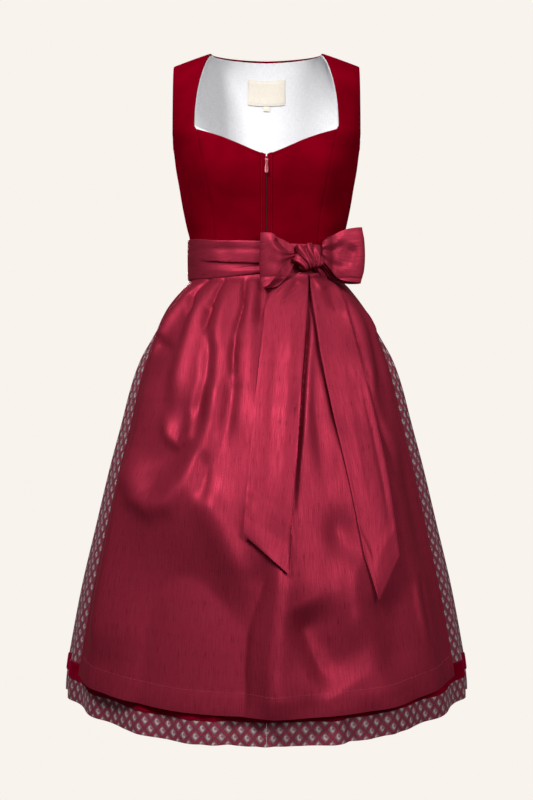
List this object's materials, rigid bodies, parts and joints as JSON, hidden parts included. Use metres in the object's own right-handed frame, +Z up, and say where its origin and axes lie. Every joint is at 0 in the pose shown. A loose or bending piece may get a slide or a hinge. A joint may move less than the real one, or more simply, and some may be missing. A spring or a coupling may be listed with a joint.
{
  "type": "dirndl",
  "caption": "Sleeveless midi dirndl, filled out as worn: velvet bodice with wide straps, jacquard skirt, and a satin apron with a tied sash and bow.",
  "frame": {"origin": "midway between the two shoulder straps, at the height of their inner edges, where the shoulders carry the dress", "axes": "+Z up along the body, -Y out of the front, +X to the right of someone who faces the front"},
  "size_m": [0.68, 0.6482, 1.0892],
  "materials": {
    "velvet": "dark red cotton velvet, short soft pile",
    "lining": "white plain-weave cotton lining",
    "label": "cream woven ribbon, bare",
    "zip_tape": "dark red zip tape with a fine coil",
    "zip_metal": "die-cast zip slider and tab, dull red enamel",
    "jacquard": "red jacquard with small silver flowers in a dark lattice",
    "ribbon": "dark red velvet ribbon",
    "satin": "raspberry shantung satin, fine slubs along the strip"
  },
  "bodies": {
    "garment": {"front_centre_left": "velvet", "front_centre_right": "velvet", "front_side_left": "velvet", "front_side_right": "velvet", "back_centre": "velvet", "back_side_left": "velvet", "back_side_right": "velvet", "lining_front_left": "lining", "lining_front_right": "lining", "lining_back": "lining", "label": "label", "size_tab": "label", "zip_lip_left": "velvet", "zip_lip_right": "velvet", "zip_chain": "zip_tape", "zip_slider": "zip_metal", "skirt_front_left": "jacquard", "skirt_front_right": "jacquard", "skirt_back": "jacquard", "ribbon_front": "ribbon", "ribbon_back": "ribbon", "apron": "satin", "apron_waistband": "satin", "sash_long": "satin", "sash_short": "satin", "bow_knot": "satin", "bow_loop_left": "satin", "bow_loop_right": "satin", "tail_left": "satin", "tail_right": "satin"},
    "pull_tab": {"zip_pull": "zip_metal"}
  },
  "joints": [
    {"name": "pull_tab_swing", "type": "hinge", "parent": "garment", "child": "pull_tab", "pos_m": [0, -0.12669, -0.204], "axis": [-1, 0, 0], "range_deg": [0, 150]}
  ]
}
